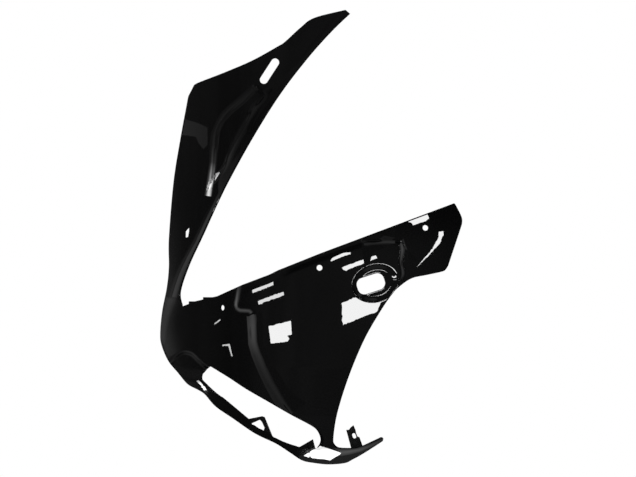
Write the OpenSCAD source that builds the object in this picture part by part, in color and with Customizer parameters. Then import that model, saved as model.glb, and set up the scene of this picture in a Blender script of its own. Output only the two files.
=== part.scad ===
// Left side fairing of a sports motorcycle: one moulded plastic skin.
// X runs from the nose to the tail, Z is up and -Y is the outer face.
// The origin is the centre of the main bolt hole, halfway through the wall.

/* [Panel] */
// Length from the nose to the tail
panel_l = 453; // [400:1:500]
// Height from the lower edge to the tip of the horn
panel_h = 682; // [620:1:740]
// Thickness of the moulded wall
wall = 3; // [2:0.1:4]
// Depth to which the nose wraps round the front
nose_wrap = 190; // [150:1:230]
// Depth to which the horn leans in at its tip
horn_lean = 80; // [40:1:110]
// Depth to which the skirt tucks in above its lower edge
skirt_tuck = 16; // [5:1:40]
// Depth to which the tail tucks in
tail_tuck = 14; // [5:1:25]

/* [Centre field] */
// Height by which the centre field stands out
centre_rise = 7; // [3:0.5:10]
// Width of the ramp at the front of the centre field
front_ramp = 13; // [8:0.5:18]
// Width of the ramp at the rear of the centre field
rear_ramp = 6; // [4:0.5:12]
// Width of the band that folds in along the top edge
fold_w = 16; // [8:1:19]
// Depth of that fold at the edge
fold_depth = 2.5; // [1:0.5:4]

/* [Horn] */
// Depth by which the horn is set in from the side panel
horn_set = 14; // [6:0.5:18]
// Width of the ramp between the two
horn_ramp = 15; // [8:0.5:20]
// Depth of the pocket in the horn
pocket_depth = 7; // [3:0.5:10]
// Width of the pocket's sloping walls
pocket_ramp = 10; // [6:0.5:16]
// Length of the slot in the horn
horn_slot_l = 43; // [30:1:50]
// Width of the slot in the horn
horn_slot_w = 12; // [8:0.5:16]

/* [Nose and lip] */
// Depth of the round at the leading edge of the nose
nose_round = 9; // [4:1:14]
// Width of that round
nose_round_w = 22; // [12:1:30]
// Depth of the hollow under the nose
cheek_depth = 14; // [6:1:20]
// Width of the wall that drops into the hollow
cheek_ramp = 8; // [5:0.5:14]
// Slope at which the lip turns under
lip_slope = 0.7; // [0.3:0.05:1.1]
// Slope at which the wing turns under
wing_slope = 1.2; // [0.7:0.05:1.5]
// Radius at the start of the turn
turn_r = 5; // [3:0.5:9]
// Radius of the rolled edge on the neck
neck_roll = 7; // [4:0.5:10]

/* [Fixings] */
// Diameter of the main and tail bolt holes
bolt_d = 8.5; // [6:0.1:10]
// Diameter of the nose bolt hole
nose_bolt_d = 8.5; // [6:0.1:10]
// Diameter of the pads behind the main and tail bolt holes
pad_d = 20; // [16:1:26]
// Thickness of the wall and pad together at the main and tail bolt holes
pad_t = 5; // [4.5:0.1:8]
// Length of the turn signal slot
signal_l = 42; // [34:1:48]
// Height of the turn signal slot
signal_h = 25; // [18:1:28]
// Corner radius of the turn signal slot
signal_r = 10; // [6:0.5:12]
// Length of the dish round the slot
dish_l = 72; // [64:1:80]
// Height of the dish round the slot
dish_h = 57; // [50:1:62]
// Depth of the dish
dish_depth = 5; // [2:0.5:8]
// Width of the dish's sloping rim
dish_ramp = 9; // [6:0.5:14]
// Height of the flange round the slot, behind the dish
flange_h = 6; // [4:0.5:10]
// Thickness of that flange
flange_t = 2; // [1.5:0.1:3]

/* [Tabs] */
// Thickness of the tabs
tab_t = 3; // [2:0.1:4]
// Width of the bracket tab on the wing
bracket_w = 15; // [12:0.5:20]
// Length of the oval hole in the bracket tab
bracket_hole_l = 8; // [6:0.5:10]
// Width of the oval hole in the bracket tab
bracket_hole_w = 5; // [4:0.5:6]
// Width of each hook behind the top edge
hook_w = 16; // [10:1:18]
// Height by which a hook stands over the top edge
hook_over = 2.5; // [1:0.5:4]
// Reach of a hook behind the wall
hook_reach = 8; // [5:0.5:12]
// Drop from the top edge to the middle of a hook's root
hook_drop = 5; // [4:0.5:8]

/* [Hidden] */

// Places are [x, z] pairs drawn for a panel of this length and height
drawn_l = 453;
drawn_h = 682;
function at(p) = [p[0] * panel_l / drawn_l, p[1] * panel_h / drawn_h];
function path(list) = [for (p = list) at(p)];

// Smooth curve through a list of points, without its last point
function curve(p, n) = [for (i = [0:len(p) - 2])
    let (a = p[max(i - 1, 0)], b = p[i], c = p[i + 1], d = p[min(i + 2, len(p) - 1)])
    for (k = [0:n - 1])
    let (t = k / n)
    (2 * b + (c - a) * t + (2 * a - 5 * b + 4 * c - d) * t * t
        + (3 * b - a - 3 * c + d) * t * t * t) / 2];

// Outer edge, clockwise from the tip of the horn
horn_tip = [[39, 387], [46, 381]];
horn_rear = [[46, 381], [19, 355], [-17, 315], [-60, 259], [-103, 191], [-145.5, 114],
    [-180.5, 40], [-194, 11], [-206, -21], [-210, -41], [-206, -58]];
panel_top = [[-206, -58], [-186, -50], [-153.5, -42.5], [-116, -25.5], [-75, -10], [-62, -3.5],
    [0.75, 21.6], [202, 97]];
tail_end = [[202, 97], [205, 93], [213, 77], [214, 68], [211, 57], [193, 3]];
tail_foot = [[193, 3], [189, -3], [183, -6], [160, -11], [138, -16], [119, -29],
    [108, -41], [91, -66], [67, -108], [44, -163], [27, -217], [21, -254],
    [23, -265], [32, -270], [51, -271], [65, -267], [80, -260], [94, -254]];
wing_tip = [[94, -254], [96, -256], [95, -260]];
lower_edge = [[95, -260], [67, -278], [50, -287.5], [38, -293], [14, -295], [-7, -293],
    [-26, -289], [-44, -277.5], [-65, -264], [-97, -248.5], [-130, -226], [-156, -208],
    [-172, -190], [-182.5, -183], [-198, -174.5], [-212, -158], [-227, -139.5], [-237, -116],
    [-239, -98], [-236, -65], [-229, -29], [-226, 2], [-226, 44], [-219, 129], [-209, 192],
    [-200, 241], [-197, 257]];
horn_corner = [[-197, 257], [-188, 274.5]];
horn_front = [[-188, 274.5], [-179, 279], [-143, 293], [-101, 311], [-63, 332], [-52, 339],
    [-29, 360], [-8, 375], [39, 387]];
outer_edge = concat(path(horn_tip), curve(path(horn_rear), 3), path(panel_top),
    curve(path(tail_end), 2), curve(path(tail_foot), 3), path(wing_tip),
    curve(path(lower_edge), 3), path(horn_corner), curve(path(horn_front), 3));

// Air duct between the side panel and the lip
duct_top = [[-163.5, -148], [-135, -165.5], [-110, -182], [-77, -201], [-44, -220],
    [-13, -236.5], [-3, -245], [1.5, -257], [-1, -266], [-6, -271.5]];
duct_gusset = [[-6, -271.5], [-9.8, -257]];
duct_foot = [[-30.5, -269], [-51, -262], [-70, -253.5]];
duct_loop = [[-70, -253.5], [-82, -224], [-86, -222.5], [-106, -226.5]];
duct_front = [[-106, -226.5], [-139.5, -199], [-159, -184], [-171.5, -172], [-176.5, -165],
    [-175.5, -158]];
duct = concat(curve(path(duct_top), 3), path(duct_gusset), curve(path(duct_foot), 3),
    path(duct_loop), curve(path(duct_front), 3), path([[-175.5, -158]]));
// Three-cornered hole in the loop that stands up from the lip
loop_hole = path([[-103, -234], [-89.5, -228], [-86.5, -231], [-82.5, -240], [-84, -244],
    [-92, -241.5]]);

// Lines that the relief follows
centre_front = path([[-121, -14], [-125, -45], [-125, -56], [-120, -63], [-104, -66],
    [-100, -78], [-100, -98], [-97, -116], [-88, -138], [-79, -161], [-67, -183], [-54, -204],
    [-41, -222], [-22, -250], [-10, -300]]);
centre_rear = path([[58, 52], [65, 40], [115, 38], [124, 30], [122, 9], [125, -8],
    [122, -21], [121, -60]]);
horn_step = path([[40, 388], [12, 355], [-21, 313], [-64, 257], [-106, 189], [-148, 112],
    [-184, 39], [-200, 9], [-213, -21], [-220, -44], [-229, -68], [-234, -86], [-238, -110]]);
nose_edge = path([[-224, 86], [-226, 2], [-229, -29], [-236, -65], [-239, -98], [-237, -115],
    [-226, -140], [-212, -159], [-198, -175]]);
cheek_edge = path([[-236, -150], [-226, -139], [-217, -130], [-204, -123], [-190, -126],
    [-179, -136], [-166, -147], [-140, -163]]);
roll_edge = path([[-19, -236], [-10, -241], [-1, -252], [1, -260], [-2, -268]]);
pocket = path([[-172, 108], [-151, 132], [-137, 150], [-127, 177], [-112, 207], [-92, 237],
    [-77, 256], [-84, 268], [-100, 275], [-119, 257], [-146, 233], [-160, 210], [-164, 184]]);

// Places of the fixings
main_bolt = at([0, 0]);
tail_bolt = at([159, 60]);
nose_bolt = at([-146, -60]);
horn_slot = at([-75, 295]);
horn_slot_turn = 57;
signal_slot = at([77, -24]);
dish = at([84, -23]);
signal_turn = 18;
flange_root = 0.2;
bracket = at([52, -252]);
bracket_root = 9;
bracket_inset = 1;
bracket_drawn_w = 15;
bracket_turn = 110;
hooks = [at([-193, 0])[0], at([-171, 0])[0]];

function sq(a) = a * a;
function above(a) = max(a, 0);
// Smooth step from 0 to 1 as t goes from 0 to 1
function ease(t) = let (c = min(1, max(0, t))) c * c * (3 - 2 * c);
// Slope that starts with a round of radius r
function bend(t, r) = t <= 0 ? 0 : t < r ? t * t / (2 * r) : t - r / 2;

reach_up = panel_h / drawn_h;

// Distance from p to a line of points, positive on the right of its travel
function off(line, p) =
    let (found = [for (i = [0:len(line) - 2])
        let (a = line[i], ab = line[i + 1] - a, ap = p - a,
            f = min(1, max(0, ap * ab / (ab * ab))),
            turned = (ap[0] * ab[1] - ap[1] * ab[0]) / norm(ab))
        [norm(ap - f * ab), turned]],
        near = min([for (f = found) f[0]]),
        sides = [for (f = found) if (f[0] < near + 0.01) f[1]],
        most = max([for (s = sides) abs(s)]),
        side = [for (s = sides) if (abs(s) == most) s][0])
    side < 0 ? -near : near;

// Plan curve of the body and its leanings, all measured from the crown at the main bolt
crown_share = 0.15;
nose_x = at([-239, 0])[0];
tail_x = at([214, 0])[0];
tip_z = at([0, 387])[1];
skirt_z = at([0, -268])[1];
function wrap_at(t) = t * t * (crown_share + (1 - crown_share) * t);
function body(x, z) =
    nose_wrap * wrap_at(above(x / nose_x)) + tail_tuck * sq(above(x / tail_x))
    + horn_lean * sq(above(z / tip_z)) + skirt_tuck * sq(above(z / skirt_z));

// Height of the top edge of the side panel over x
function top_z(x) = lookup(x, path(panel_top));

// Line below which the lip and the wing turn under, as pairs of x and z
turn_line = path([[-240, -150], [-198, -166], [-177, -168], [-164, -179], [-135, -204],
    [-106, -227], [-69, -252], [-48, -262], [-29, -267], [0, -268], [30, -269], [60, -267],
    [80, -259], [96, -251]]);
turn_slopes = [[at([-60, 0])[0], lip_slope], [at([-10, 0])[0], wing_slope]];

function path_z(pairs) = [for (q = pairs) [at([0, q[0]])[1], q[1]]];
// Share of the centre field at a place, from 0 outside it to 1 on it
function in_centre(p) =
    let (low = lookup(p[1], path_z([[-222, 0.35], [-150, 1]])),
        w = p[1] > at([0, -64])[1] ? front_ramp / 2 : front_ramp * low)
    low * ease(0.5 - off(centre_front, p) / w) * ease(0.5 + off(centre_rear, p) / rear_ramp);
// It folds in along the top edge of the panel and doesn't reach the horn above that edge
past_edge = 10;
function centre(p) =
    let (drop = top_z(p[0]) - p[1])
    drop < -past_edge ? 0
        : in_centre(p) * (fold_depth * sq(above(1 - drop / fold_w)) - centre_rise);
// The side panel stands out from the horn, and less so where the horn climbs away from it
function set_out(p) =
    horn_set * lookup((p[1] - top_z(p[0])) / reach_up, [[100, 1], [155, 0.2]])
    * ease(0.5 - off(horn_step, p) / horn_ramp);
function round_nose(p) =
    nose_round * lookup(p[1] / reach_up, [[-150, 0.4], [-120, 1], [-50, 1], [86, 0]])
    * sq(above(1 - above(-off(nose_edge, p)) / nose_round_w));
// The hollow under the nose ends at cheek_end and rises again over the lip
cheek_end = at([-150, 0])[0];
cheek_rise = 22;
cheek_foot = 4;
function cheek(p) =
    let (below = off(cheek_edge, p), over = p[1] - lookup(p[0], turn_line))
    p[0] > cheek_end ? 0
        : cheek_depth * ease(below / cheek_ramp) * ease((over + cheek_foot) / cheek_rise);
function under(p) = lookup(p[0], turn_slopes) * bend(lookup(p[0], turn_line) - p[1], turn_r);
function roll(p) = let (d = abs(off(roll_edge, p)))
    neck_roll * sq(above(1 - d / neck_roll));
function pocket_at(p) =
    let (inside = -off(concat(pocket, [pocket[0]]), p))
    pocket_depth * ease(inside / pocket_ramp);
// Share of the dish at a place, from 0 outside it to 1 on its flat floor
function in_dish(p) =
    let (d = p - dish, c = cos(signal_turn), t = sin(signal_turn),
        e = [(d[0] * c + d[1] * t) / dish_l, (d[1] * c - d[0] * t) / dish_h])
    ease((1 - 2 * norm(e)) * dish_h / 2 / dish_ramp);

function field(p) = body(p[0], p[1]) + centre(p) - set_out(p) + round_nose(p) + cheek(p)
    + under(p) + roll(p) + pocket_at(p);
dish_floor = field(dish) + dish_depth;

function form(x, z) = let (p = [x, z], m = in_dish(p))
    m == 0 ? field(p) : (1 - m) * field(p) + m * dish_floor;
form_at_bolt = form(main_bolt[0], main_bolt[1]);
// Depth of the outer face at a place
function skin(x, z) = form(x, z) - form_at_bolt - pad_t / 2;

// Slopes of the skin along X and Z, measured over a short span
span = 10;
function slopes(p) = [for (step = [[span / 2, 0], [0, span / 2]])
    (skin(p[0] + step[0], p[1] + step[1]) - skin(p[0] - step[0], p[1] - step[1])) / span];

// Bolt holes: place, slopes, thickness of the wall with its pad, and bore
bolts = [[main_bolt, [0, 0], pad_t, bolt_d], [tail_bolt, slopes(tail_bolt), pad_t, bolt_d],
    [nose_bolt, slopes(nose_bolt), wall, nose_bolt_d]];

// The skin is woven on two nets of columns and rows that share their first row.
// The panel's rows run along the line of its top edge; the drop is measured from that line.
// Its columns run along these lines, given as pairs of drop and x.
edge_left = [[-6, -254], [30, -254], [60, -248], [75, -235], [120, -209], [146, -184],
    [190, -146], [225, -115], [255, -77], [282, -53], [300, -37], [324, -2]];
edge_vee = [[-6, -197], [120, -160], [324, 0]];
front_left = [[-6, -126], [20, -129], [33, -129], [45, -112], [100, -107], [130, -95],
    [175, -73], [226, -43], [270, -20], [324, 4]];
front_right = [[-6, -117], [20, -120], [33, -120], [45, -98], [100, -93], [130, -81],
    [175, -60], [226, -36], [270, -14], [324, 8]];
dish_left = [[-6, 42], [110, 42], [150, 20], [200, 5], [250, 0], [324, 17]];
rear_left = [[-6, 60], [6, 66], [28, 114], [86, 119], [110, 88], [150, 62], [200, 38],
    [250, 20], [290, 14], [324, 26]];
rear_right = [[-6, 67], [6, 73], [28, 123], [86, 126], [110, 94], [150, 68], [200, 44],
    [250, 26], [290, 20], [324, 32]];
edge_right = [[-6, 226], [92, 222], [106, 130], [125, 108], [155, 83], [200, 61], [250, 43],
    [280, 38], [292, 110], [318, 112], [333, 84]];
lines = [edge_left, edge_vee, front_left, front_right, dish_left, rear_left, rear_right,
    edge_right];
columns = [11, 5, 3, 9, 10, 3, 6];
// Drops of the rows, closer together over the upper part
drops = concat([for (d = [-6:5.5:112]) d], [for (d = [121:10:333]) d]);

function shares(bounds, counts) = concat(
    [for (c = [0:len(counts) - 1]) for (i = [0:counts[c] - 1])
        bounds[c] + (bounds[c + 1] - bounds[c]) * i / counts[c]],
    [bounds[len(counts)]]);
top_a = panel_top[0];
top_b = panel_top[len(panel_top) - 1];
function drawn_top(x) = top_a[1] + (x - top_a[0]) * (top_b[1] - top_a[1]) / (top_b[0] - top_a[0]);
panel_net = [for (d = drops)
    [for (x = shares([for (l = lines) lookup(d, l)], columns)) at([x, drawn_top(x) - d])]];

// The horn's rows run across it, fanning round its corner, from the panel's first row to the tip
horn_left = [[-251, -74], [-243, -33], [-240, 12], [-238, 57], [-235, 102], [-230, 147],
    [-223, 192], [-215, 237], [-207, 275], [-172, 300], [-112, 326], [-59, 354], [-17, 384],
    [31, 398]];
horn_right = [[-197, -55], [-200, -30], [-186, 9], [-165, 52], [-145, 92], [-128, 128],
    [-112, 158], [-93, 190], [-73, 222], [-50, 256], [-28, 286], [-5, 312], [26, 342], [60, 384]];
horn_spans = 3;
horn_columns = [3, 2, 3, 2, 1];
// Where the walls of the pocket cross each row, as shares of its width, and their own width
wall_left = [[0, 0.27], [4, 0.55], [5, 0.61], [6, 0.53], [7, 0.45], [8, 0.56], [9, 0.56],
    [10, 0.45], [13, 0.3]];
wall_right = [[0, 0.91], [4, 0.8], [5, 0.85], [6, 0.84], [7, 0.82], [8, 0.84], [9, 0.78], [13, 0.8]];
wall_share = [[0, 0.18], [4, 0.08], [9, 0.08], [13, 0.15]];
function horn_bounds(k) =
    let (l = lookup(k, wall_left), r = lookup(k, wall_right), w = lookup(k, wall_share))
    [0, l, l + w, r - w, r, 1];
function blend(a, b, t) = a + (b - a) * t;
function mark(list, k) = let (i = min(floor(k), len(list) - 2)) blend(list[i], list[i + 1], k - i);
horn_ends = (len(horn_left) - 1) * horn_spans;
horn_net = [for (j = [1:horn_ends]) let (k = j / horn_spans)
    [for (s = shares(horn_bounds(k), horn_columns))
        at(blend(mark(horn_left, k), mark(horn_right, k), s))]];

function place(net) = [for (row = net) [for (q = row) [q[0], skin(q[0], q[1]), q[1]]]];
panel_out = place(panel_net);
function first(row) = [for (i = [0:columns[0]]) row[i]];
horn_out = concat([first(panel_out[0])], place(horn_net));
// Wall measured along Y, so that its true thickness stays the same on a slope
lean_most = 2.4;
function lean_at(net, k, i) =
    let (a = net[k][min(i + 1, len(net[k]) - 1)] - net[k][max(i - 1, 0)],
        b = net[min(k + 1, len(net) - 1)][i] - net[max(k - 1, 0)][i],
        n = cross(a, b))
    min(lean_most, norm(n) / abs(n[1]));
function backed(net) = [for (k = [0:len(net) - 1]) [for (i = [0:len(net[k]) - 1])
    net[k][i] + [0, wall * lean_at(net, k, i), 0]]];
panel_in = backed(panel_out);
horn_in = concat([first(panel_in[0])], let (b = backed(horn_out)) [for (k = [1:len(b) - 1]) b[k]]);

function flat(lists) = [for (l = lists) each l];
// The woven slab: both nets, their backs and the rim that joins them
module slab() {
    nc = len(panel_out[0]);
    hc = columns[0] + 1;
    np = nc * len(panel_out);
    nh = hc * (len(horn_out) - 1);
    n = np + nh;
    upper = [for (k = [1:len(horn_out) - 1]) horn_out[k]];
    upper_in = [for (k = [1:len(horn_in) - 1]) horn_in[k]];
    points = concat(flat(panel_out), flat(upper), flat(panel_in), flat(upper_in));
    function pa(k, i) = k * nc + i;
    function ha(k, i) = k == 0 ? i : np + (k - 1) * hc + i;
    panel_quads = [for (k = [0:len(panel_out) - 2]) for (i = [0:nc - 2])
        [pa(k, i), pa(k, i + 1), pa(k + 1, i + 1), pa(k + 1, i)]];
    horn_quads = [for (k = [0:len(horn_out) - 2]) for (i = [0:hc - 2])
        [ha(k, i), ha(k + 1, i), ha(k + 1, i + 1), ha(k, i + 1)]];
    quads = concat(panel_quads, horn_quads);
    rim = concat([for (k = [len(panel_out) - 1:-1:1]) pa(k, 0)],
        [for (k = [0:len(horn_out) - 2]) ha(k, 0)],
        [for (i = [0:hc - 2]) ha(len(horn_out) - 1, i)],
        [for (k = [len(horn_out) - 1:-1:1]) ha(k, hc - 1)],
        [for (i = [hc - 1:nc - 2]) pa(0, i)],
        [for (k = [0:len(panel_out) - 2]) pa(k, nc - 1)],
        [for (i = [nc - 1:-1:1]) pa(len(panel_out) - 1, i)]);
    // Each four-sided face is split along its shorter diagonal
    function across(q, i, j) = norm(points[q[i]] - points[q[j]]);
    turned = [for (q = quads) across(q, 0, 2) <= across(q, 1, 3) ? q : [q[1], q[2], q[3], q[0]]];
    front = [for (q = turned) each [[q[0], q[1], q[2]], [q[0], q[2], q[3]]]];
    back = [for (t = front) [t[0] + n, t[2] + n, t[1] + n]];
    edge = [for (i = [0:len(rim) - 1]) let (a = rim[i], b = rim[(i + 1) % len(rim)])
        each [[a, b + n, b], [a, a + n, b + n]]];
    polyhedron(points, concat(front, back, edge), convexity = 10);
}

// Stands a drawing in X and Z upright, reaching far out on both sides of the skin
reach = nose_wrap + horn_lean + 100;
module through() {
    translate([0, reach, 0]) rotate([90, 0, 0]) linear_extrude(2 * reach) children();
}

module place_at(p, turn) {
    translate(p) rotate(turn) children();
}

module oblong(l, w, r) {
    union() {
        square([l - 2 * r, w], center = true);
        square([l, w - 2 * r], center = true);
        for (sx = [-1, 1]) for (sz = [-1, 1])
            translate([sx * (l / 2 - r), sz * (w / 2 - r)]) circle(r, $fn = 32);
    }
}

module face_outline() {
    difference() {
        polygon(outer_edge);
        polygon(duct);
        polygon(loop_hole);
        place_at(horn_slot, horn_slot_turn) oblong(horn_slot_l, horn_slot_w, horn_slot_w / 2 - 0.01);
        place_at(signal_slot, signal_turn) oblong(signal_l, signal_h, signal_r);
    }
}

// Turns a bolt's own axis square to the skin
module on_skin(bolt) {
    p = bolt[0];
    s = bolt[1];
    translate([p[0], skin(p[0], p[1]), p[1]])
        rotate([-90 - asin(s[1] / norm([s[0], 1, s[1]])), 0, atan(s[0])]) children();
}

module bolt_pad(bolt) {
    on_skin(bolt) translate([0, 0, wall / 2]) cylinder(h = bolt[2] - wall / 2, d = pad_d, $fn = 48);
}

module bolt_hole(bolt) {
    on_skin(bolt) translate([0, 0, -2 * bolt[2]]) cylinder(h = 5 * bolt[2], d = bolt[3], $fn = 48);
}

// Upright ring behind the dish that stiffens the turn signal slot
module signal_flange() {
    rear = dish_floor - form_at_bolt - pad_t / 2 + wall + flange_h;
    translate([0, rear, 0]) rotate([90, 0, 0]) linear_extrude(wall - flange_root + flange_h)
        place_at(signal_slot, signal_turn) difference() {
            oblong(signal_l + 2 * flange_t, signal_h + 2 * flange_t, signal_r + flange_t);
            oblong(signal_l, signal_h, signal_r);
        }
}

// Flat tab with an oval hole that stands on the inner side of the wing
module bracket_tab() {
    foot = [for (x = [bracket[0] + bracket_w, bracket[0] - 0.2 * bracket_w])
        [x, lookup(x, turn_line) - bracket_root]];
    y = skin(foot[0][0], foot[0][1]) + bracket_inset;
    head = [for (p = [[-12, 9], [-8, 9], [-5, 13], [-1, 16], [2, 9], [3, 4], [5, -1], [8, -2]])
        bracket + p * bracket_w / bracket_drawn_w];
    translate([0, y + tab_t, 0]) rotate([90, 0, 0]) linear_extrude(tab_t) difference() {
        polygon(concat(head, foot));
        place_at(bracket, bracket_turn) oblong(bracket_hole_l, bracket_hole_w, bracket_hole_w / 2 - 0.01);
    }
}

// Hook behind the top edge that holds the panel above it
module hook(x) {
    z = top_z(x) - hook_drop;
    translate([x, skin(x, z), z]) rotate([0, 0, atan(slopes([x, z])[0])]) {
        translate([-hook_w / 2, wall / 2, -hook_drop])
            cube([hook_w, wall / 2 + tab_t, 2 * hook_drop + hook_over]);
        translate([-hook_w / 2, wall / 2, hook_drop + hook_over - tab_t])
            cube([hook_w, wall / 2 + hook_reach, tab_t]);
    }
}

module fairing_panel() {
    color([0.02, 0.02, 0.02]) difference() {
        union() {
            intersection() {
                slab();
                through() face_outline();
            }
            for (bolt = bolts) if (bolt[2] > wall) bolt_pad(bolt);
            signal_flange();
            bracket_tab();
            for (x = hooks) hook(x);
        }
        for (bolt = bolts) bolt_hole(bolt);
    }
}

fairing_panel();
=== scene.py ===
# Left side fairing of a sports motorcycle: one moulded skin of gloss black plastic.
# Lengths are written in millimetres and made metres by MM; X runs to the tail, Z is up, -Y is
# the outer face, and the origin is the centre of the main bolt hole.
import math

import bpy
import numpy as np
from mathutils import Matrix, Vector
from mathutils.geometry import delaunay_2d_cdt


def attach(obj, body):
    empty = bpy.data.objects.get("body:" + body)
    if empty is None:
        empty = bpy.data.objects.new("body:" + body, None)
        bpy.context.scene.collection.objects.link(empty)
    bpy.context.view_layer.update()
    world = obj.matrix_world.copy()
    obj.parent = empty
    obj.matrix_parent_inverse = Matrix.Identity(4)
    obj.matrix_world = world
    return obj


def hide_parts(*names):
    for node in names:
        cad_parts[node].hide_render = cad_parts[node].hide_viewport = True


MM = 0.001
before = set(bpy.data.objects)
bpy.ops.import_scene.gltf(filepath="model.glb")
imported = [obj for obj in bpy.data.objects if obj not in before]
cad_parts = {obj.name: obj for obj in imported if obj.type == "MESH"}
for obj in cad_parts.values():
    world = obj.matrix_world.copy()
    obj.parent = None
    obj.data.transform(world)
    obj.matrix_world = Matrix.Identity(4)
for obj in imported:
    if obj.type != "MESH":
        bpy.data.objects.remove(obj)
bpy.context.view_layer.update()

# ---- sizes of the moulding ----
WALL = 3.0
NOSE_WRAP, HORN_LEAN, SKIRT_TUCK, TAIL_TUCK, CROWN_SHARE = 190.0, 80.0, 16.0, 14.0, 0.15
NOSE_X, TAIL_X, TIP_Z, SKIRT_Z = -239.0, 214.0, 387.0, -268.0
CENTRE_RISE, FRONT_RAMP, REAR_RAMP = 7.0, 13.0, 6.0
FOLD_W, FOLD_DEPTH, PAST_EDGE = 16.0, 2.5, 10.0
HORN_SET, HORN_RAMP = 14.0, 15.0
POCKET_DEPTH, POCKET_RAMP = 7.0, 10.0
HORN_SLOT_L, HORN_SLOT_W = 43.0, 12.0
NOSE_ROUND, NOSE_ROUND_W = 9.0, 22.0
CHEEK_DEPTH, CHEEK_RAMP = 14.0, 8.0
LIP_SLOPE, WING_SLOPE, TURN_R, NECK_ROLL = 0.7, 1.2, 5.0, 7.0
BOLT_D, PAD_D, PAD_T = 8.5, 20.0, 5.0
SIGNAL_L, SIGNAL_H, SIGNAL_R = 42.0, 25.0, 10.0
DISH_L, DISH_H, DISH_DEPTH, DISH_RAMP = 72.0, 57.0, 5.0, 9.0
FLANGE_H, FLANGE_T, FLANGE_ROOT = 6.0, 2.0, 0.2
TAB_T, BRACKET_W, BRACKET_HOLE_L, BRACKET_HOLE_W = 3.0, 15.0, 8.0, 5.0
HOOK_W, HOOK_OVER, HOOK_REACH, HOOK_DROP = 16.0, 2.5, 8.0, 5.0

MAIN_BOLT, TAIL_BOLT, NOSE_BOLT = (0, 0), (159, 60), (-146, -60)
HORN_SLOT, HORN_SLOT_TURN = (-75, 295), 57
SIGNAL_SLOT, DISH, SIGNAL_TURN = (77, -24), (84, -23), 18
BRACKET, BRACKET_ROOT, BRACKET_INSET = (52, -252), 9.0, 1.0
HOOKS = (-193, -171)

# ---- outline, as pairs of x and z, clockwise from the tip of the horn ----
HORN_REAR = [(46, 381), (19, 355), (-17, 315), (-60, 259), (-103, 191), (-145.5, 114),
             (-180.5, 40), (-194, 11), (-206, -21), (-210, -41), (-206, -58)]
PANEL_TOP = [(-206, -58), (-186, -50), (-153.5, -42.5), (-116, -25.5), (-75, -10), (-62, -3.5),
             (0.75, 21.6), (202, 97)]
TAIL_END = [(202, 97), (205, 93), (213, 77), (214, 68), (211, 57), (193, 3)]
TAIL_FOOT = [(193, 3), (189, -3), (183, -6), (160, -11), (138, -16), (119, -29), (108, -41),
             (91, -66), (67, -108), (44, -163), (27, -217), (21, -254), (23, -265), (32, -270),
             (51, -271), (65, -267), (80, -260), (94, -254)]
WING_TIP = [(94, -254), (96, -256), (95, -260)]
LOWER_EDGE = [(95, -260), (67, -278), (50, -287.5), (38, -293), (14, -295), (-7, -293),
              (-26, -289), (-44, -277.5), (-65, -264), (-97, -248.5), (-130, -226), (-156, -208),
              (-172, -190), (-182.5, -183), (-198, -174.5), (-212, -158), (-227, -139.5),
              (-237, -116), (-239, -98), (-236, -65), (-229, -29), (-226, 2), (-226, 44),
              (-219, 129), (-209, 192), (-200, 241), (-197, 257)]
HORN_FRONT = [(-188, 274.5), (-179, 279), (-143, 293), (-101, 311), (-63, 332), (-52, 339),
              (-29, 360), (-8, 375), (39, 387)]
HORN_TIP = [(39, 387), (46, 381)]
DUCT_TOP = [(-163.5, -148), (-135, -165.5), (-110, -182), (-77, -201), (-44, -220), (-13, -236.5),
            (-3, -245), (1.5, -257), (-1, -266), (-6, -271.5)]
DUCT_GUSSET = [(-6, -271.5), (-9.8, -257)]
DUCT_FOOT = [(-30.5, -269), (-51, -262), (-70, -253.5)]
DUCT_LOOP = [(-70, -253.5), (-82, -224), (-86, -222.5), (-106, -226.5)]
DUCT_FRONT = [(-106, -226.5), (-139.5, -199), (-159, -184), (-171.5, -172), (-176.5, -165),
              (-175.5, -158)]
LOOP_HOLE = [(-103, -234), (-89.5, -228), (-86.5, -231), (-82.5, -240), (-84, -244), (-92, -241.5)]

# ---- lines that the relief follows ----
CENTRE_FRONT = [(-121, -14), (-125, -45), (-125, -56), (-120, -63), (-104, -66), (-100, -78),
                (-100, -98), (-97, -116), (-88, -138), (-79, -161), (-67, -183), (-54, -204),
                (-41, -222), (-22, -250), (-10, -300)]
CENTRE_REAR = [(58, 52), (65, 40), (115, 38), (124, 30), (122, 9), (125, -8), (122, -21), (121, -60)]
HORN_STEP = [(40, 388), (12, 355), (-21, 313), (-64, 257), (-106, 189), (-148, 112), (-184, 39),
             (-200, 9), (-213, -21), (-220, -44), (-229, -68), (-234, -86), (-238, -110)]
NOSE_EDGE = [(-224, 86), (-226, 2), (-229, -29), (-236, -65), (-239, -98), (-237, -115),
             (-226, -140), (-212, -159), (-198, -175)]
CHEEK_EDGE = [(-236, -150), (-226, -139), (-217, -130), (-204, -123), (-190, -126), (-179, -136),
              (-166, -147), (-140, -163)]
ROLL_EDGE = [(-19, -236), (-10, -241), (-1, -252), (1, -260), (-2, -268)]
POCKET = [(-172, 108), (-151, 132), (-137, 150), (-127, 177), (-112, 207), (-92, 237), (-77, 256),
          (-84, 268), (-100, 275), (-119, 257), (-146, 233), (-160, 210), (-164, 184), (-172, 108)]
TURN_LINE = [(-240, -150), (-198, -166), (-177, -168), (-164, -179), (-135, -204), (-106, -227),
             (-69, -252), (-48, -262), (-29, -267), (0, -268), (30, -269), (60, -267), (80, -259),
             (96, -251)]


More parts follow.
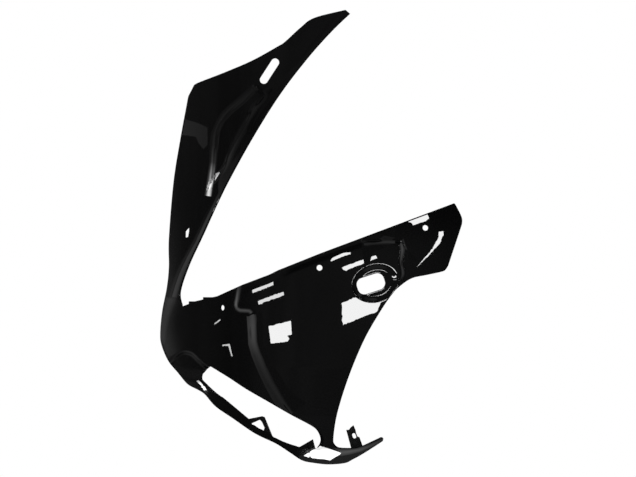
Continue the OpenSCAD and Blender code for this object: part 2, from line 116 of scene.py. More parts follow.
# ---- drawing helpers ----
def curve(points, n):
    """Smooth curve through the points, with n steps between each two and both ends."""
    p = np.array(points, float)
    p = np.vstack([p[:1], p, p[-1:]])
    out = []
    for a, b, c, d in zip(p, p[1:], p[2:], p[3:]):
        for t in np.arange(n) / n:
            out.append((2 * b + (c - a) * t + (2 * a - 5 * b + 4 * c - d) * t * t
                        + (3 * b - a - 3 * c + d) * t ** 3) / 2)
    return np.array(out + [p[-1]])


def joined(*paths):
    """One closed loop from paths that meet end to end, without a repeated point."""
    points = np.vstack([np.array(path, float) for path in paths])
    gaps = np.linalg.norm(points - np.roll(points, 1, axis=0), axis=1)
    return points[gaps > 0.05]


def oblong(centre, turn, length, width, radius, steps=10):
    """Rectangle with round corners, turned about its centre."""
    points = []
    for corner, (sx, sz) in enumerate([(1, 1), (-1, 1), (-1, -1), (1, -1)]):
        middle = np.array([sx * (length / 2 - radius), sz * (width / 2 - radius)])
        for k in range(steps + 1):
            angle = math.radians(90 * (corner + k / steps))
            points.append(middle + radius * np.array([math.cos(angle), math.sin(angle)]))
    c, s = math.cos(math.radians(turn)), math.sin(math.radians(turn))
    turned = np.array(points) @ np.array([[c, s], [-s, c]]) + np.array(centre)
    return joined(turned)


def ease(t):
    c = np.clip(t, 0, 1)
    return c * c * (3 - 2 * c)


def above(a):
    return np.maximum(a, 0)


def lookup(pairs, value):
    keys, values = zip(*pairs)
    return np.interp(value, keys, values)


def off(line, x, z):
    """Distance to a line of points, positive on the right of its travel."""
    line = np.array(line, float)
    found = []
    for a, b in zip(line, line[1:]):
        ab, length = b - a, np.linalg.norm(b - a)
        ax, az = x - a[0], z - a[1]
        f = np.clip((ax * ab[0] + az * ab[1]) / length ** 2, 0, 1)
        found.append((np.hypot(ax - f * ab[0], az - f * ab[1]), (ax * ab[1] - az * ab[0]) / length))
    near = np.min([far for far, side in found], axis=0)
    most = np.zeros(np.shape(x))
    for far, side in found:
        most = np.where((far < near + 0.01) & (np.abs(side) > np.abs(most)), side, most)
    return np.where(most < 0, -near, near)


# ---- the skin's depth over x and z ----
def top_z(x):
    return lookup(PANEL_TOP, x)


def body(x, z):
    t = above(x / NOSE_X)
    return (NOSE_WRAP * t * t * (CROWN_SHARE + (1 - CROWN_SHARE) * t)
            + TAIL_TUCK * above(x / TAIL_X) ** 2 + HORN_LEAN * above(z / TIP_Z) ** 2
            + SKIRT_TUCK * above(z / SKIRT_Z) ** 2)


SMOOTH_FRONT = curve(CENTRE_FRONT, 4)
SMOOTH_REAR = curve(CENTRE_REAR, 4)
SMOOTH_STEP = curve(HORN_STEP, 4)
SMOOTH_NOSE = curve(NOSE_EDGE, 4)
SMOOTH_CHEEK = curve(CHEEK_EDGE, 4)
SMOOTH_ROLL = curve(ROLL_EDGE, 4)
SMOOTH_POCKET = curve(POCKET, 4)
SMOOTH_TURN = curve(TURN_LINE, 4)


def centre(x, z):
    low = lookup([(-222, 0.35), (-150, 1)], z)
    width = FRONT_RAMP * low * lookup([(-76, 1), (-58, 0.5)], z)
    share = (low * ease(0.5 - off(SMOOTH_FRONT, x, z) / width)
             * ease(0.5 + off(SMOOTH_REAR, x, z) / REAR_RAMP))
    drop = top_z(x) - z
    fold = FOLD_DEPTH * above(1 - drop / FOLD_W) ** 2
    return np.where(drop < -PAST_EDGE, 0, share * (fold - CENTRE_RISE))


def set_out(x, z):
    return (HORN_SET * lookup([(100, 1), (155, 0.2)], z - top_z(x))
            * ease(0.5 - off(SMOOTH_STEP, x, z) / HORN_RAMP))


def round_nose(x, z):
    return (NOSE_ROUND * lookup([(-150, 0.4), (-120, 1), (-50, 1), (86, 0)], z)
            * above(1 - above(-off(SMOOTH_NOSE, x, z)) / NOSE_ROUND_W) ** 2)


def cheek(x, z):
    over = z - lookup(SMOOTH_TURN, x)
    hollow = CHEEK_DEPTH * ease(off(SMOOTH_CHEEK, x, z) / CHEEK_RAMP) * ease((over + 4) / 22)
    return np.where(x > -150, 0, hollow)


def under(x, z):
    t = lookup(SMOOTH_TURN, x) - z
    bend = np.where(t <= 0, 0, np.where(t < TURN_R, t * t / (2 * TURN_R), t - TURN_R / 2))
    return lookup([(-60, LIP_SLOPE), (-10, WING_SLOPE)], x) * bend


def roll(x, z):
    return NECK_ROLL * above(1 - np.abs(off(SMOOTH_ROLL, x, z)) / NECK_ROLL) ** 2


def pocket(x, z):
    return POCKET_DEPTH * ease(-off(SMOOTH_POCKET, x, z) / POCKET_RAMP)


def field(x, z):
    return (body(x, z) + centre(x, z) - set_out(x, z) + round_nose(x, z) + cheek(x, z)
            + under(x, z) + roll(x, z) + pocket(x, z))


def field_at(p):
    return float(field(np.array([p[0]], float), np.array([p[1]], float))[0])


def in_dish(x, z):
    dx, dz = x - DISH[0], z - DISH[1]
    c, s = math.cos(math.radians(SIGNAL_TURN)), math.sin(math.radians(SIGNAL_TURN))
    reach = np.hypot((dx * c + dz * s) / DISH_L, (dz * c - dx * s) / DISH_H)
    return ease((1 - 2 * reach) * DISH_H / 2 / DISH_RAMP)


DISH_FLOOR = field_at(DISH) + DISH_DEPTH
FACE = field_at(MAIN_BOLT) + PAD_T / 2


def skin(x, z):
    """Depth of the outer face at each place."""
    share = in_dish(x, z)
    return (1 - share) * field(x, z) + share * DISH_FLOOR - FACE


def skin_at(p):
    return float(skin(np.array([p[0]], float), np.array([p[1]], float))[0])


def slopes(p, span=10.0):
    """Slopes of the skin along x and z at a place."""
    h = span / 2
    return ((skin_at((p[0] + h, p[1])) - skin_at((p[0] - h, p[1]))) / span,
            (skin_at((p[0], p[1] + h)) - skin_at((p[0], p[1] - h))) / span)


BOLTS = [(MAIN_BOLT, (0.0, 0.0), PAD_T), (TAIL_BOLT, slopes(TAIL_BOLT), PAD_T),
         (NOSE_BOLT, slopes(NOSE_BOLT), WALL)]


# ---- the sheet: an even net of triangles inside the outline ----
CELL = 2.1
STEP_CELL = 1.25
EDGE_STEP = 1.8
# Rings of points along each edge: distance from the edge, and how far the round sinks there
RINGS = [(0.0, 0.55), (0.22, 0.2), (0.7, 0.0), (1.9, 0.0)]

outer_loop = joined(HORN_TIP[:1], curve(HORN_REAR, 8), PANEL_TOP, curve(TAIL_END, 5),
                    curve(TAIL_FOOT, 6), WING_TIP, curve(LOWER_EDGE, 8), curve(HORN_FRONT, 8))
duct_loop = joined(curve(DUCT_TOP, 6), DUCT_GUSSET, curve(DUCT_FOOT, 6), DUCT_LOOP,
                   curve(DUCT_FRONT, 6))
holes = [duct_loop, joined(LOOP_HOLE),
         oblong(HORN_SLOT, HORN_SLOT_TURN, HORN_SLOT_L, HORN_SLOT_W, HORN_SLOT_W / 2 - 0.01),
         oblong(SIGNAL_SLOT, SIGNAL_TURN, SIGNAL_L, SIGNAL_H, SIGNAL_R)]


def spaced(loop):
    """The loop with points at even steps, its corners kept."""
    out = []
    for a, b in zip(loop, np.roll(loop, -1, axis=0)):
        n = max(1, round(np.linalg.norm(b - a) / EDGE_STEP))
        out += [a + (b - a) * k / n for k in range(n)]
    return np.array(out)


def turned_area(loop):
    x, z = loop[:, 0], loop[:, 1]
    return float(np.sum(x * np.roll(z, -1) - z * np.roll(x, -1)) / 2)


def inside(loop, x, z):
    odd = np.zeros(len(x), bool)
    for (ax, az), (bx, bz) in zip(loop, np.roll(loop, -1, axis=0)):
        crosses = (az > z) != (bz > z)
        if az != bz:
            odd ^= crosses & (x < (bx - ax) * (z - az) / (bz - az) + ax)
    return odd


drawn_loops = [outer_loop] + holes
loops = [spaced(loop) for loop in drawn_loops]


def clearance(x, z):
    """Distance from each place to the nearest edge, negative outside the sheet."""
    near = np.full(len(x), 1e9)
    for loop in drawn_loops:
        near = np.minimum(near, np.abs(off(np.vstack([loop, loop[:1]]), x, z)))
    kept = inside(drawn_loops[0], x, z)
    for loop in drawn_loops[1:]:
        kept &= ~inside(loop, x, z)
    return np.where(kept, near, -near)


def ring(loop, inset, hole):
    """The loop moved into the sheet by a small inset."""
    along = np.roll(loop, -1, axis=0) - np.roll(loop, 1, axis=0)
    along /= np.linalg.norm(along, axis=1)[:, None]
    inward = np.stack([-along[:, 1], along[:, 0]], axis=1)
    if (turned_area(loop) < 0) != hole:
        inward = -inward
    return loop + inset * inward


def along_steps(x, z):
    """True at places on the steps and ramps of the relief."""
    near = np.abs(off(SMOOTH_FRONT, x, z)) < FRONT_RAMP / 2 + 2
    near |= np.abs(off(SMOOTH_REAR, x, z)) < REAR_RAMP / 2 + 2
    near |= np.abs(off(SMOOTH_STEP, x, z)) < HORN_RAMP / 2 + 1
    near |= np.abs(off(SMOOTH_POCKET, x, z) + POCKET_RAMP / 2) < POCKET_RAMP / 2 + 1.5
    near |= np.abs(off(SMOOTH_CHEEK, x, z)) < CHEEK_RAMP
    return near | (np.hypot((x - DISH[0]) / DISH_L, (z - DISH[1]) / DISH_H) < 0.6)


def lattice(cell):
    """Places of an even net of triangles, clear of the edges."""
    xs = np.arange(-243, 220, cell)
    zs = np.arange(-300, 392, cell * 0.866)
    gx, gz = np.meshgrid(xs, zs)
    gx = gx + (np.arange(len(zs)) % 2)[:, None] * cell / 2
    gx, gz = gx.ravel(), gz.ravel()
    clear = clearance(gx, gz) > RINGS[-1][0] + cell * 0.6
    return gx[clear], gz[clear]


def sheet_net():
    """Places and triangles of the flat sheet, finer along the steps."""
    points = []
    for cell, fine in ((CELL, False), (STEP_CELL, True)):
        gx, gz = lattice(cell)
        kept = along_steps(gx, gz) == fine
        points.append(np.stack([gx, gz], axis=1)[kept])
    edges, first = [], 0
    for loop in loops:
        ids = np.arange(len(loop)) + first
        edges += list(zip(ids.tolist(), np.roll(ids, -1).tolist()))
        first += len(loop)
    rings = []
    for inset, sunk in RINGS[1:]:
        for number, loop in enumerate(loops):
            moved = ring(loop, inset, number > 0)
            room = clearance(moved[:, 0], moved[:, 1])
            rings.append(moved[room > 0.85 * inset])
    flat = np.vstack(loops + rings + points)
    result = delaunay_2d_cdt([Vector(p) for p in flat], edges, [], 0, 0.01)
    places = np.array([(v.x, v.y) for v in result[0]])
    triangles = np.array([list(f) for f in result[2]])
    middles = places[triangles].mean(axis=1)
    return places, triangles[clearance(middles[:, 0], middles[:, 1]) > 0]


places, triangles = sheet_net()
room = np.maximum(clearance(places[:, 0], places[:, 1]), 0)
rounding = np.interp(room, [r[0] for r in RINGS], [r[1] for r in RINGS])
depth = skin(places[:, 0], places[:, 1]) + rounding
sheet = bpy.data.meshes.new("fairing_moulding")
vertices = np.stack([places[:, 0], depth, places[:, 1]], axis=1) * MM
sheet.from_pydata(vertices.tolist(), [], triangles.tolist())
moulding = bpy.data.objects.new("fairing_moulding", sheet)
bpy.context.collection.objects.link(moulding)


def only(obj):
    bpy.ops.object.select_all(action="DESELECT")
    bpy.context.view_layer.objects.active = obj
    obj.select_set(True)


def apply(obj, modifier):
    only(obj)
    bpy.ops.object.modifier_apply(modifier=modifier.name)


# ---- pads, hooks, tab and flange, each a small solid that joins the wall ----
def bolt_frame(bolt):
    """Frame at a bolt hole whose own Z points inwards, square to the skin."""
    place, (sx, sz), thick = bolt
    spot = Vector((place[0], skin_at(place), place[1])) * MM
    tilt = math.asin(sz / math.sqrt(sx * sx + 1 + sz * sz))
    return (Matrix.Translation(spot) @ Matrix.Rotation(math.atan(sx), 4, "Z")
            @ Matrix.Rotation(-math.pi / 2 - tilt, 4, "X"))


def rod(bolt, start, end, diameter, name):
    """Cylinder on a bolt's axis, from start to end behind the outer face."""
    bpy.ops.mesh.primitive_cylinder_add(vertices=64, radius=diameter / 2 * MM, depth=(end - start) * MM)
    obj = bpy.context.object
    obj.name = name
    obj.data.transform(bolt_frame(bolt) @ Matrix.Translation((0, 0, (start + end) / 2 * MM)))
    return obj


def plate(outline, y_from, y_to, name):
    """Flat plate drawn in x and z, from one depth to another."""
    loop = np.array(outline, float)
    if turned_area(loop) > 0:
        loop = loop[::-1]
    mesh = bpy.data.meshes.new(name)
    n = len(loop)
    points = [(x * MM, y * MM, z * MM) for y in (y_from, y_to) for x, z in loop]
    faces = [tuple(reversed(range(n))), tuple(range(n, 2 * n))]
    faces += [(i, (i + 1) % n, (i + 1) % n + n, i + n) for i in range(n)]
    mesh.from_pydata(points, [], faces)
    obj = bpy.data.objects.new(name, mesh)
    bpy.context.collection.objects.link(obj)
    only(obj)
    bpy.ops.object.mode_set(mode="EDIT")
    bpy.ops.mesh.select_all(action="SELECT")
    bpy.ops.mesh.normals_make_consistent(inside=False)
    bpy.ops.object.mode_set(mode="OBJECT")
    return obj


def combine(base, cutter, operation):
    modifier = base.modifiers.new("join", "BOOLEAN")
    modifier.object, modifier.operation, modifier.solver = cutter, operation, "EXACT"
    apply(base, modifier)
    bpy.data.objects.remove(cutter)
    return base


def as_one(parts):
    """Separate solids joined in one object."""
    only(parts[0])
    for part in parts:
        part.select_set(True)
    bpy.ops.object.join()
    return parts[0]


def bevelled(obj, width):
    modifier = obj.modifiers.new("soft edge", "BEVEL")
    modifier.width, modifier.segments, modifier.limit_method = width * MM, 2, "ANGLE"
    apply(obj, modifier)
    return obj


def block(low, high, turn, spot, name):
    """Box between two corners, turned about Z and set down at a spot."""
    bpy.ops.mesh.primitive_cube_add(size=1)
    obj = bpy.context.object
    obj.name = name
    low, high = np.array(low, float), np.array(high, float)
    obj.data.transform(Matrix.Translation(Vector(spot) * MM) @ Matrix.Rotation(turn, 4, "Z")
                       @ Matrix.Translation(Vector((low + high) / 2) * MM)
                       @ Matrix.Diagonal((*((high - low) * MM), 1)))
    return obj


def hook(x):
    z = top_z(x) - HOOK_DROP
    spot, turn = (x, skin_at((x, z)), z), math.atan(slopes((x, z))[0])
    stem = block((-HOOK_W / 2, WALL / 2, -HOOK_DROP),
                 (HOOK_W / 2, WALL + TAB_T, HOOK_DROP + HOOK_OVER), turn, spot, "hook")
    arm = block((-HOOK_W / 2, WALL / 2, HOOK_DROP + HOOK_OVER - TAB_T),
                (HOOK_W / 2, WALL + HOOK_REACH, HOOK_DROP + HOOK_OVER), turn, spot, "hook_arm")
    return bevelled(combine(stem, arm, "UNION"), 0.5)


def bracket_tab():
    foot = [(x, float(lookup(TURN_LINE, x)) - BRACKET_ROOT)
            for x in (BRACKET[0] + BRACKET_W, BRACKET[0] - 0.2 * BRACKET_W)]
    y = skin_at(foot[0]) + BRACKET_INSET
    head = [(BRACKET[0] + dx, BRACKET[1] + dz) for dx, dz in
            [(-12, 9), (-8, 9), (-5, 13), (-1, 16), (2, 9), (3, 4), (5, -1), (8, -2)]]
    tab = plate(head + foot, y, y + TAB_T, "bracket_tab")
    hole = plate(oblong(BRACKET, 110, BRACKET_HOLE_L, BRACKET_HOLE_W, BRACKET_HOLE_W / 2 - 0.01),
                 y - 5, y + 5 + TAB_T, "bracket_hole")
    return bevelled(combine(tab, hole, "DIFFERENCE"), 0.4)


def signal_flange():
    front = DISH_FLOOR - FACE
    rim = plate(oblong(SIGNAL_SLOT, SIGNAL_TURN, SIGNAL_L + 2 * FLANGE_T, SIGNAL_H + 2 * FLANGE_T,
                       SIGNAL_R + FLANGE_T), front + FLANGE_ROOT, front + WALL + FLANGE_H, "signal_flange")
    slot = plate(oblong(SIGNAL_SLOT, SIGNAL_TURN, SIGNAL_L, SIGNAL_H, SIGNAL_R),
                 front - 5, front + 20, "signal_slot")
    return bevelled(combine(rim, slot, "DIFFERENCE"), 0.3)


def finish_moulding():
    wall = moulding.modifiers.new("wall", "SOLIDIFY")
    wall.thickness, wall.offset, wall.use_even_offset = WALL * MM, -1, True
    wall.use_quality_normals = True
    apply(moulding, wall)
    extras = [rod(bolt, WALL / 2, bolt[2], PAD_D, "bolt_pad") for bolt in BOLTS if bolt[2] > WALL]
    extras += [signal_flange(), bracket_tab()] + [hook(x) for x in HOOKS]
    combine(moulding, as_one(extras), "UNION")
    combine(moulding, as_one([rod(bolt, -10, 15, BOLT_D, "bore") for bolt in BOLTS]), "DIFFERENCE")
    only(moulding)
    bpy.ops.object.shade_smooth_by_angle(angle=math.radians(38))


finish_moulding()


# ---- finishes ----
def node_group(name, inputs, outputs):
    group = bpy.data.node_groups.new(name, "ShaderNodeTree")
    for label, kind, value in inputs:
        socket = group.interface.new_socket(name=label, in_out="INPUT", socket_type=kind)
        socket.default_value = value
    for label, kind in outputs:
        group.interface.new_socket(name=label, in_out="OUTPUT", socket_type=kind)
    return group, group.nodes.new("NodeGroupInput"), group.nodes.new("NodeGroupOutput")


def math_node(tree, operation, a, b=None):
    node = tree.nodes.new("ShaderNodeMath")
    node.operation = operation
    for socket, value in zip(node.inputs, (a, b)):
        if value is None:
            continue
        if isinstance(value, (int, float)):
            socket.default_value = value
        else:
            tree.links.new(value, socket)
    return node.outputs[0]


def noise(tree, vector, scale, detail):
    node = tree.nodes.new("ShaderNodeTexNoise")
    node.inputs["Detail"].default_value = detail
    if isinstance(scale, (int, float)):
        node.inputs["Scale"].default_value = scale
    else:
        tree.links.new(scale, node.inputs["Scale"])
    tree.links.new(vector, node.inputs["Vector"])
    return node.outputs["Fac"]


def moulded_surface():
    """Orange peel, dust and fine wear of a moulded and polished plastic."""
    group, start, end = node_group(
        "moulded_surface",
        [("Place", "NodeSocketVector", (0, 0, 0)), ("Peel Scale", "NodeSocketFloat", 160),
         ("Dust", "NodeSocketFloat", 0.1), ("Base Roughness", "NodeSocketFloat", 0.05)],
        [("Height", "NodeSocketFloat"), ("Roughness", "NodeSocketFloat")])
    peel = noise(group, start.outputs["Place"], start.outputs["Peel Scale"], 1.0)
    group.links.new(peel, end.inputs["Height"])
    haze = noise(group, start.outputs["Place"], 14, 3.0)
    specks = noise(group, start.outputs["Place"], 900, 2.0)
    specks = math_node(group, "GREATER_THAN", specks, 0.72)
    dust = math_node(group, "MULTIPLY", specks, start.outputs["Dust"])
    dust = math_node(group, "MULTIPLY", dust, haze)
    wear = math_node(group, "MULTIPLY", haze, 0.012)
    rough = math_node(group, "ADD", start.outputs["Base Roughness"], wear)
    group.links.new(math_node(group, "ADD", rough, dust), end.inputs["Roughness"])
    return group


def moulded_plastic(name, colour, peel_scale, peel_depth, dust, roughness, specular):
    material = bpy.data.materials.new(name)
    material.use_nodes = True
    tree = material.node_tree
    shader = tree.nodes["Principled BSDF"]
    shader.inputs["Base Color"].default_value = (*colour, 1)
    shader.inputs["IOR"].default_value = 1.5
    shader.inputs["Specular IOR Level"].default_value = specular
    place = tree.nodes.new("ShaderNodeTexCoord").outputs["Object"]
    surface = tree.nodes.new("ShaderNodeGroup")
    surface.node_tree = SURFACE
    tree.links.new(place, surface.inputs["Place"])
    surface.inputs["Peel Scale"].default_value = peel_scale
    surface.inputs["Dust"].default_value = dust
    surface.inputs["Base Roughness"].default_value = roughness
    bump = tree.nodes.new("ShaderNodeBump")
    bump.inputs["Strength"].default_value = 0.05
    bump.inputs["Distance"].default_value = peel_depth
    tree.links.new(surface.outputs["Height"], bump.inputs["Height"])
    tree.links.new(bump.outputs["Normal"], shader.inputs["Normal"])
    tree.links.new(surface.outputs["Roughness"], shader.inputs["Roughness"])
    return material


# Upper bound of the matte strip between the duct and the lower edge
LIP_LINE = [(-172, -183), (-150, -190), (-106, -205), (-84, -210), (-70, -235), (-36, -245),
            (-31, -245)]
LIP_START, LIP_END = -172, -31


def on_gusset(x, z):
    """True on the matte corner between the duct's rear end and the wing."""
    return (x > -33) & (x < -5) & (z > -271 + 0.43 * (x + 5)) & (z < -255)


def paint_faces():
    """Gloss on the outer face, a fine matte grain on the lip, the tabs and the inner side."""
    mesh = moulding.data
    n = len(mesh.polygons)
    middles = np.zeros(3 * n)
    mesh.polygons.foreach_get("center", middles)
    x, y, z = middles.reshape(n, 3).T / MM
    normals = np.zeros(3 * n)
    mesh.polygons.foreach_get("normal", normals)
    outward = -normals.reshape(n, 3)[:, 1]
    behind = (y - skin(x, z)) / WALL
    inner = (behind > 0.55) | ((outward < -0.2) & (behind > 0.3))
    lip = (x > LIP_START) & (x < LIP_END) & (z < lookup(LIP_LINE, x)) | on_gusset(x, z)
    mesh.polygons.foreach_set("material_index", (inner | lip).astype(np.int32))
    mesh.update()


SURFACE = moulded_surface()
moulding.data.materials.clear()
moulding.data.materials.append(
    moulded_plastic("gloss_black", (0.0016, 0.0016, 0.0017), 160, 0.0002, 0.05, 0.0, 0.5))
moulding.data.materials.append(
    moulded_plastic("matte_black", (0.0032, 0.0032, 0.0033), 1400, 0.002, 0.0, 0.5, 0.08))
paint_faces()
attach(moulding, "root")
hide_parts("fairing_panel")

# ---- camera, square on to the side, as the photograph was taken ----
IMAGE_W, IMAGE_H = 636, 477
# Millimetres to a pixel, and the pixel of the main bolt
PX, PX_ORIGIN = 1.5, (319.5, 267.8)
CAMERA_AWAY, CAMERA_REACH = 3, 50


def at_pixel(px, py):
    """Place in x and z seen at a pixel of the photograph."""
    return (px - PX_ORIGIN[0]) * PX, (PX_ORIGIN[1] - py) * PX


middle_x, middle_z = at_pixel(IMAGE_W / 2, IMAGE_H / 2)
bpy.ops.object.camera_add(location=(middle_x * MM, -CAMERA_AWAY, middle_z * MM),
                          rotation=(math.pi / 2, 0, 0))
camera = bpy.context.object
camera.data.type = "ORTHO"
camera.data.ortho_scale = IMAGE_W * PX * MM
camera.data.clip_end = CAMERA_REACH
bpy.context.scene.camera = camera

# ---- floor ----
FLOOR_SIZE, FLOOR_Z = 12, -0.32
bpy.ops.mesh.primitive_plane_add(size=FLOOR_SIZE, location=(0, 0, FLOOR_Z))
floor = bpy.context.object
floor.name = "floor"
pale = bpy.data.materials.new("pale_floor")
pale.use_nodes = True
pale.node_tree.nodes["Principled BSDF"].inputs["Base Color"].default_value = (0.82, 0.82, 0.82, 1)
pale.node_tree.nodes["Principled BSDF"].inputs["Roughness"].default_value = 0.9
floor.data.materials.append(pale)
floor.visible_glossy = False


# ---- world: white behind and under the fairing, a dark room before it ----
def smooth_range(tree, value, low, high, start, end):
    ramp = tree.nodes.new("ShaderNodeMapRange")
    ramp.interpolation_type = "SMOOTHSTEP"
    for label, number in (("From Min", low), ("From Max", high), ("To Min", start), ("To Max", end)):
        ramp.inputs[label].default_value = number
    tree.links.new(value, ramp.inputs["Value"])
    return ramp.outputs["Result"]


def choose(tree, factor, a, b):
    mix = tree.nodes.new("ShaderNodeMix")
    mix.data_type = "FLOAT"
    tree.links.new(factor, mix.inputs["Factor"])
    for label, value in (("A", a), ("B", b)):
        if isinstance(value, float):
            mix.inputs[label].default_value = value
        else:
            tree.links.new(value, mix.inputs[label])
    return mix.outputs["Result"]


def studio_world():
    """White for the camera; what gloss shows is a dark room with a paler floor and back wall."""
    world = bpy.data.worlds.new("studio")
    bpy.context.scene.world = world
    world.use_nodes = True
    tree = world.node_tree
    back = tree.nodes["Background"]
    back.inputs["Color"].default_value = (1, 1, 1, 1)
    path = tree.nodes.new("ShaderNodeLightPath")
    direction = tree.nodes.new("ShaderNodeSeparateXYZ")
    place = tree.nodes.new("ShaderNodeTexCoord").outputs["Generated"]
    tree.links.new(place, direction.inputs[0])
    across, up = direction.outputs["X"], direction.outputs["Z"]
    # a dark screen above the middle, and the room's darker front end
    screen = math_node(tree, "MULTIPLY", smooth_range(tree, up, 0.02, 0.2, 0.0, 1.0),
                       smooth_range(tree, up, 0.36, 0.5, 1.0, 0.0))
    screen = math_node(tree, "MULTIPLY", screen, smooth_range(tree, across, -0.42, -0.28, 0.0, 0.75))
    front = math_node(tree, "MULTIPLY", smooth_range(tree, across, -0.9, -0.5, 0.5, 0.0),
                      smooth_range(tree, up, 0.1, 0.5, 1.0, 0.5))
    room = smooth_range(tree, across, 0.08, 0.3, 0.1, 0.07)
    for shade in (screen, front):
        room = math_node(tree, "MULTIPLY", room, math_node(tree, "SUBTRACT", 1.0, shade))
    # uneven walls
    blots = noise(tree, place, 4.0, 2.0)
    room = math_node(tree, "MULTIPLY", room, smooth_range(tree, blots, 0.35, 0.65, 0.85, 1.15))
    # the pale floor under the fairing and the bright wall behind it
    below = smooth_range(tree, up, -0.7, -0.9, 0.0, 0.22)
    behind = smooth_range(tree, direction.outputs["Y"], 0.88, 0.98, 0.0, 0.5)
    glossy = math_node(tree, "MAXIMUM", room, math_node(tree, "MAXIMUM", below, behind))
    direct = math_node(tree, "MAXIMUM", path.outputs["Is Camera Ray"], path.outputs["Is Transmission Ray"])
    light = choose(tree, path.outputs["Is Glossy Ray"], 0.8, glossy)
    tree.links.new(choose(tree, direct, light, 1.0), back.inputs["Strength"])


studio_world()

# ---- windows and lamps of the room, each set where the skin mirrors it to the camera ----
LAMP_FAR = 450.0
# Half the span over which the skin's slope is taken, and the level that stands for no light
STEP, DIM = 0.5, 0.08


def reflected(slope_x, slope_z):
    n = 2 / (1 + slope_x ** 2 + slope_z ** 2)
    return Vector((n * slope_x, 1 - n, n * slope_z))


def mirrored(x, z, surface=skin):
    """Place on a surface, and the direction from which it takes its light."""
    depth = surface(x + STEP * np.array([-1, 1, 0, 0, 0]), z + STEP * np.array([0, 0, -1, 1, 0]))
    return (Vector((x, depth[4], z)),
            reflected((depth[1] - depth[0]) / (2 * STEP), (depth[3] - depth[2]) / (2 * STEP)))


def panel(x, z):
    """The skin without the signal's dish."""
    return field(x, z) - FACE


def glowing(name, points, faces, levels, spots, brightness):
    """Light card, bright on the side of the spots; the levels at its points shade it."""
    points = [Vector(p) for p in points]
    turned = []
    for face in faces:
        first = points[face[0]]
        fan = zip(face[1:], face[2:])
        normal = sum(((points[i] - first).cross(points[j] - first) for i, j in fan), Vector())
        turned.append(face if normal.dot(spots[face[0]] - first) > 0 else tuple(reversed(face)))
    mesh = bpy.data.meshes.new(name)
    mesh.from_pydata([p * MM for p in points], [], turned)
    level = mesh.attributes.new("level", "FLOAT", "POINT")
    level.data.foreach_set("value", levels)
    card = bpy.data.objects.new(name, mesh)
    bpy.context.collection.objects.link(card)
    glow = bpy.data.materials.new(name)
    glow.use_nodes = True
    tree = glow.node_tree
    tree.nodes.remove(tree.nodes["Principled BSDF"])
    emission = tree.nodes.new("ShaderNodeEmission")
    shade = tree.nodes.new("ShaderNodeAttribute")
    shade.attribute_name = "level"
    tree.links.new(math_node(tree, "MULTIPLY", shade.outputs["Fac"], float(brightness)),
                   emission.inputs["Strength"])
    clear = tree.nodes.new("ShaderNodeBsdfTransparent")
    sides = tree.nodes.new("ShaderNodeMixShader")
    tree.links.new(tree.nodes.new("ShaderNodeNewGeometry").outputs["Backfacing"], sides.inputs["Fac"])
    tree.links.new(emission.outputs[0], sides.inputs[1])
    tree.links.new(clear.outputs[0], sides.inputs[2])
    tree.links.new(sides.outputs[0], tree.nodes["Material Output"].inputs["Surface"])
    mesh.materials.append(glow)
    card.visible_camera = card.visible_diffuse = card.visible_shadow = False
    return card


def window(name, corners, brightness, surface=skin):
    """Flat card whose mirror image in the surface has these corners in the photograph."""
    rays = [mirrored(*at_pixel(px, py), surface) for px, py in corners]
    spot = sum((p for p, r in rays), Vector()) / len(rays)
    toward = sum((r for p, r in rays), Vector()).normalized()
    points = [p + r * (LAMP_FAR - (p - spot).dot(toward)) / max(r.dot(toward), 0.2) for p, r in rays]
    count = len(points)
    glowing(name, points, [tuple(range(count))], [1.0] * count, [spot] * count, brightness)


def net(rows):
    """Points and faces of a card from rows of equal length."""
    wide = len(rows[0])
    faces = [(i * wide + k, i * wide + k + 1, (i + 1) * wide + k + 1, (i + 1) * wide + k)
             for i in range(len(rows) - 1) for k in range(wide - 1)]
    return [point for row in rows for point in row], faces


def glow_patch(name, rows, brightness, near, fine=3):
    """Curved card that lights each pixel of its rows, (px, py, level), by its own ray."""
    def finer(grid):
        t = np.linspace(0, len(grid) - 1, (len(grid) - 1) * fine + 1)
        i = np.minimum(t.astype(int), len(grid) - 2)
        f = (t - i)[:, None, None]
        return grid[i] * (1 - f) + grid[i + 1] * f
    grid = finer(np.swapaxes(finer(np.array(rows, float)), 0, 1))
    rays = [[mirrored(*at_pixel(px, py)) for px, py, level in row] for row in grid]
    points, faces = net([[p + r * near for p, r in row] for row in rays])
    spots = [p for row in rays for p, r in row]
    glowing(name, points, faces, grid[:, :, 2].ravel().tolist(), spots, brightness)


# Shares of a step's width and the light there; lengths of a card's dark foot, rim and top
FADE = ((0.0, 1.0), (0.15, 1.0), (0.3, 0.8), (0.45, 0.35))
CARD_FOOT, CARD_RIM, CARD_TOP = 2.5, 3.0, 50.0


def edge_light(name, line, brightness, width, near=12.0):
    """Slim light that stands beside a step, so that only the step itself mirrors it.

    The line gives pixels along the step's steepest part, with a level for each; the width
    is the step's own, and the light fades from the steepest part outwards."""
    cards, spots, levels = [], [], []
    for px, py, level in line:
        x, z = at_pixel(px, py)
        sx, sz = slopes((x, z), 1.0)
        uphill = np.array([sx, sz]) / math.hypot(sx, sz)
        spot, aim = Vector((x, skin_at((x, z)), z)), reflected(sx, sz)
        row = []
        for share, strength in FADE:
            start, ray = mirrored(x - uphill[0] * width * share, z - uphill[1] * width * share)
            row.append(start + ray * ((near - (start - spot).dot(aim)) / max(ray.dot(aim), 0.15)))
        up = (row[0] - row[1]).normalized()
        out = (row[-1] - row[-2]).normalized()
        cards.append([row[0] + up * CARD_FOOT, row[0] + up] + row
                     + [row[-1] + out * CARD_RIM, row[-1] + out * CARD_TOP])
        spots += [spot] * len(cards[-1])
        levels += [0.0, level] + [level * strength for share, strength in FADE]
        levels += [DIM / brightness] * 2
    points, faces = net(cards)
    glowing(name, points, faces, levels, spots, brightness)


